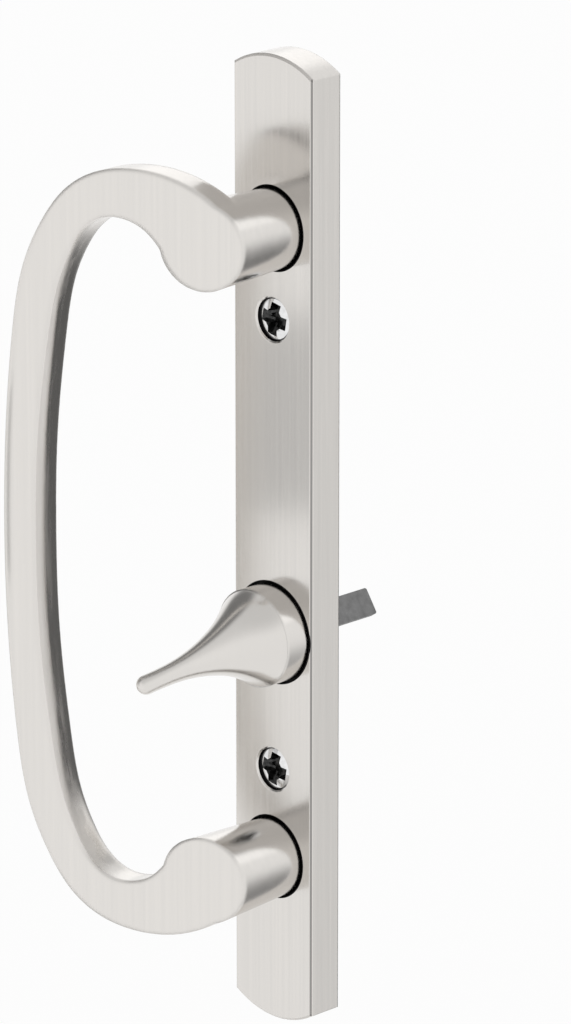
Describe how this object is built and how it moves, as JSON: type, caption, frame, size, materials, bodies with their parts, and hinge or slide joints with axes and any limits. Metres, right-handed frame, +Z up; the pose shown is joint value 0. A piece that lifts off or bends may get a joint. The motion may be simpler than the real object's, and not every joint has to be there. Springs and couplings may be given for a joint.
{
  "type": "sliding patio door handle",
  "caption": "Inside handle of a sliding patio door: long plate with arched ends, offset D-shaped pull grip on round posts, and a thumb lever that turns a flat lock tailpiece.",
  "frame": {"origin": "midway between the two mounting screws, in the plane of the plate's back rim, which lies on the door", "axes": "+Z up along the plate, +Y into the door, the handle's front facing -Y, the pull grip standing off towards -X"},
  "size_m": [0.0605, 0.0636, 0.214],
  "materials": {
    "satin_nickel": "satin, brushed",
    "tail_steel": "matte, dull steel strip",
    "spring_steel": "plain spring steel",
    "zinc_screw": "zinc plated",
    "bright_screw": "bright plated"
  },
  "bodies": {
    "handle": {"escutcheon_plate": "satin_nickel", "pull_grip": "satin_nickel", "upper_grip_screw": "zinc_screw", "lower_grip_screw": "zinc_screw", "upper_mounting_screw": "bright_screw", "lower_mounting_screw": "bright_screw", "wave_washer": "spring_steel"},
    "lever": {"thumb_lever": "satin_nickel", "tailpiece": "tail_steel", "retaining_clip": "spring_steel"}
  },
  "joints": [
    {"name": "lever_turn", "type": "hinge", "parent": "handle", "child": "lever", "pos_m": [0, -0.0082, -0.01905], "axis": [0, -1, 0], "range_deg": [-79, 11]}
  ]
}
